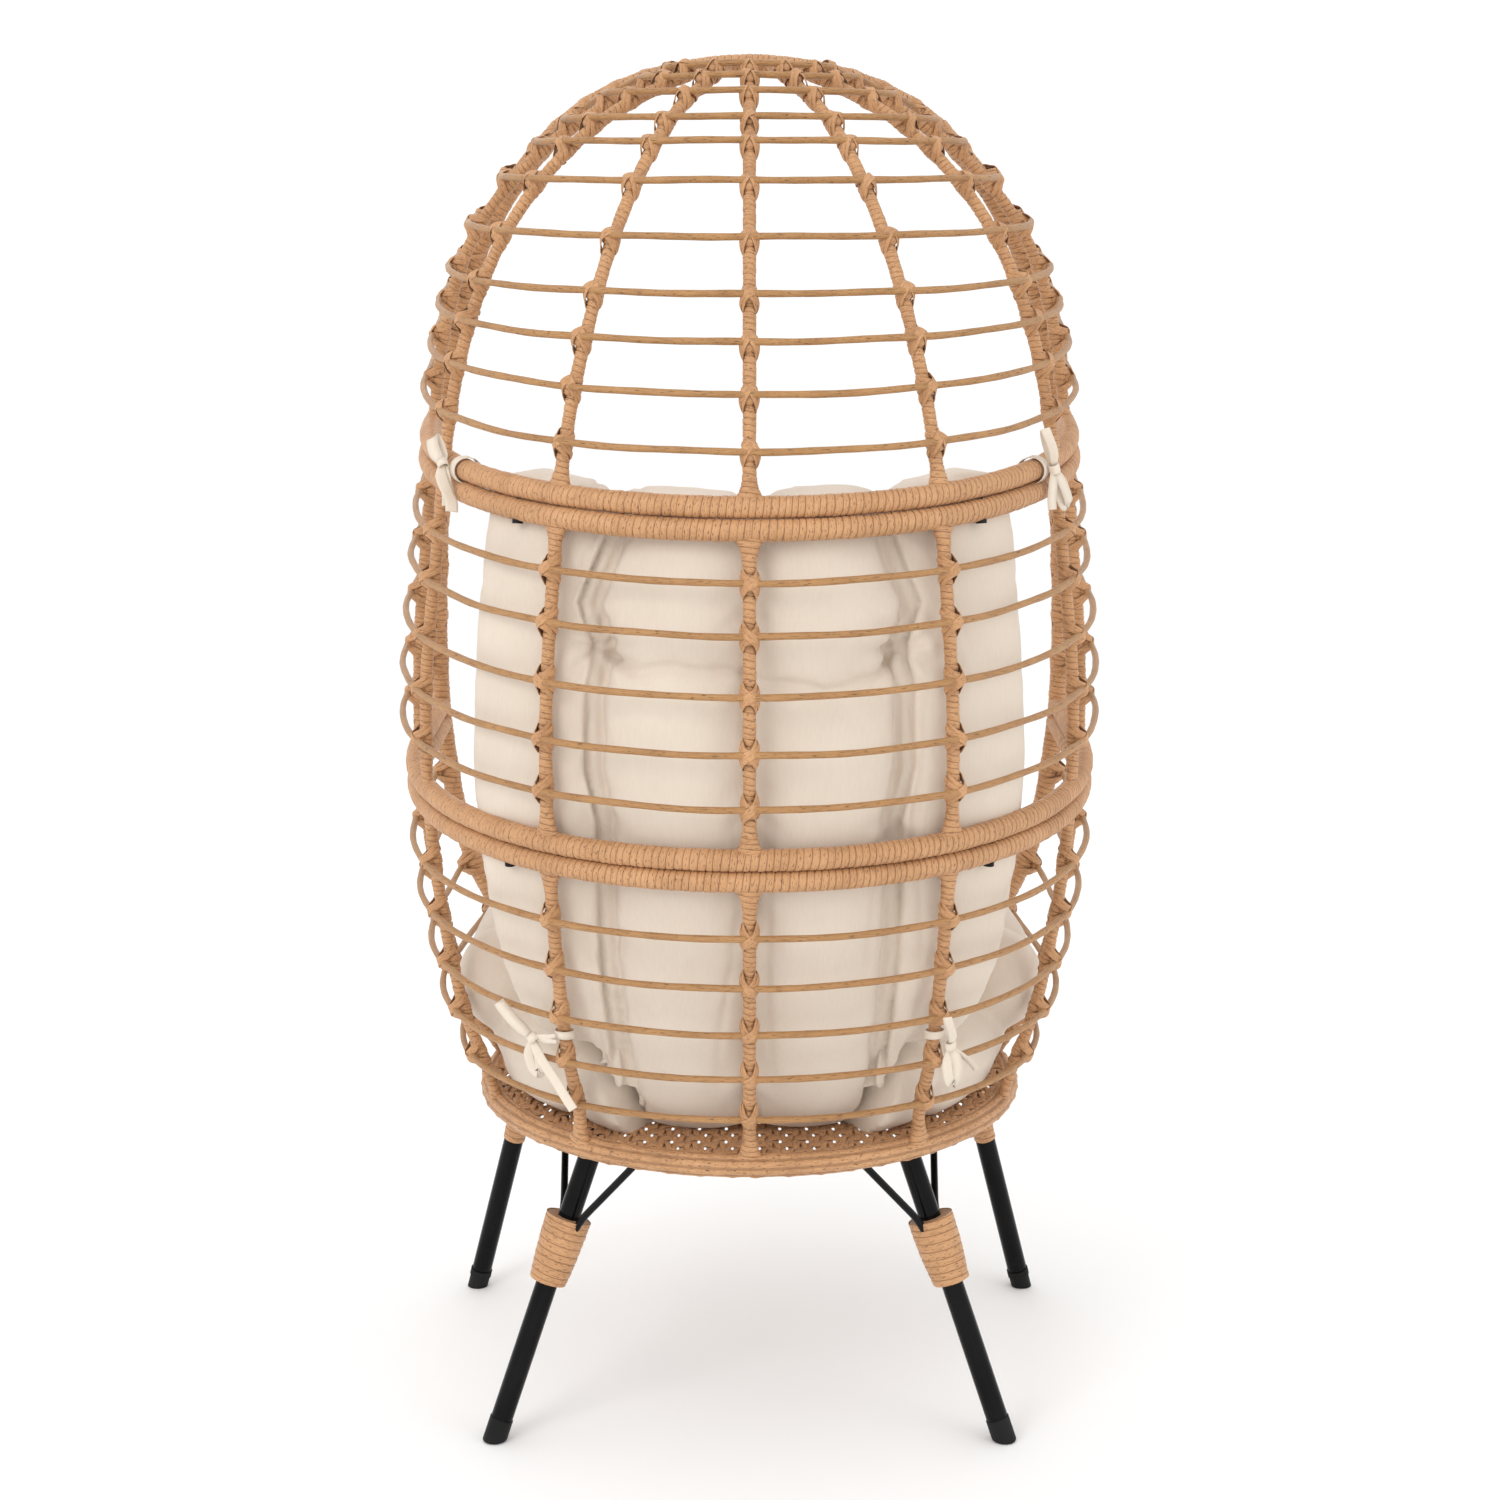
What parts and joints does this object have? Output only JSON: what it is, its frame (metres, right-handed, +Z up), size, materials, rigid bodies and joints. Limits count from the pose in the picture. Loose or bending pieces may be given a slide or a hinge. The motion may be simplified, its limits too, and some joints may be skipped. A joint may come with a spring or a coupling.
{
  "type": "standing egg chair",
  "caption": "Standing egg chair: open basket shell of wrapped tube ribs, rings and round canes on a woven base, splayed black legs with levelling feet, and tied cream seat and back cushions.",
  "frame": {"origin": "floor level, at the middle of the chair's bounding box, on its plane of symmetry", "axes": "+Z up, -Y towards the open front of the shell, +X to the right of someone who faces the open front"},
  "size_m": [0.8058, 0.7272, 1.4883],
  "materials": {
    "wicker": "flat tan woven strand with dark brown flecks and a soft sheen, wound tightly over steel tube",
    "cane": "round golden ochre rod with a fine lengthwise grain and dark flecks",
    "cushion_fabric": "plain cream cotton blend cover over soft filling",
    "ribbon": "flat woven cream tape",
    "black_steel": "gloss black powder coat",
    "fastener": "black oxide steel",
    "foot_plastic": "moulded black plastic",
    "foot_screw": "moulded black plastic wheel on a threaded stud"
  },
  "bodies": {
    "frame": {"back_cushion": "cushion_fabric", "band_bottom_ring": "wicker", "band_canes": "cane", "band_rib_centre": "wicker", "band_ribs_inner": "wicker", "band_ribs_middle": "wicker", "band_ribs_outer": "wicker", "band_rim_left": "wicker", "band_rim_right": "wicker", "band_top_ring": "wicker", "base_ring": "wicker", "bowl_canes": "cane", "bowl_rib_centre": "wicker", "bowl_ribs_inner": "wicker", "bowl_ribs_middle": "wicker", "bowl_ribs_outer": "wicker", "bowl_rim": "wicker", "bowl_ring": "wicker", "dome_canes": "cane", "dome_rib_centre": "wicker", "dome_ribs_inner": "wicker", "dome_ribs_middle": "wicker", "dome_ribs_outer": "wicker", "dome_rim": "wicker", "dome_ring": "wicker", "front_left_insert": "foot_plastic", "front_left_leg": "black_steel", "front_leg_sockets": "wicker", "front_right_insert": "foot_plastic", "front_right_leg": "black_steel", "leg_plates": "black_steel", "leg_screws": "fastener", "lower_joint_bolts": "fastener", "lower_joint_nuts": "fastener", "lower_left_tie": "ribbon", "lower_right_tie": "ribbon", "rear_left_brace_rods": "black_steel", "rear_left_collar": "wicker", "rear_left_foot_cap": "foot_plastic", "rear_left_leg": "black_steel", "rear_right_brace_rods": "black_steel", "rear_right_collar": "wicker", "rear_right_foot_cap": "foot_plastic", "rear_right_leg": "black_steel", "seat_crossbars": "black_steel", "seat_cushion": "cushion_fabric", "seat_rails": "black_steel", "seat_weave": "wicker", "upper_joint_bolts": "fastener", "upper_joint_nuts": "fastener", "upper_left_tie": "ribbon", "upper_right_tie": "ribbon"},
    "right_pad": {"front_right_foot_pad": "foot_plastic"},
    "right_screw": {"front_right_foot_screw": "foot_screw"},
    "left_pad": {"front_left_foot_pad": "foot_plastic"},
    "left_screw": {"front_left_foot_screw": "foot_screw"}
  },
  "joints": [
    {"name": "right_foot_travel", "type": "slide", "parent": "frame", "child": "right_pad", "axis": [0.2443, -0.1206, -0.9622], "range_m": [0, 0.01]},
    {"name": "right_foot_turn", "type": "hinge", "parent": "right_pad", "child": "right_screw", "pos_m": [0.33611, -0.21019, 0.01924], "axis": [0.2443, -0.1206, -0.9622], "range_deg": [0, 2880]},
    {"name": "left_foot_travel", "type": "slide", "parent": "frame", "child": "left_pad", "axis": [-0.2443, -0.1206, -0.9622], "range_m": [0, 0.01]},
    {"name": "left_foot_turn", "type": "hinge", "parent": "left_pad", "child": "left_screw", "pos_m": [-0.33611, -0.21019, 0.01924], "axis": [-0.2443, -0.1206, -0.9622], "range_deg": [0, 2880]}
  ],
  "couplings": [
    {"joint": "right_foot_turn", "follows": "right_foot_travel", "rad_per_m": 5026.5},
    {"joint": "left_foot_turn", "follows": "left_foot_travel", "rad_per_m": 5026.5}
  ]
}
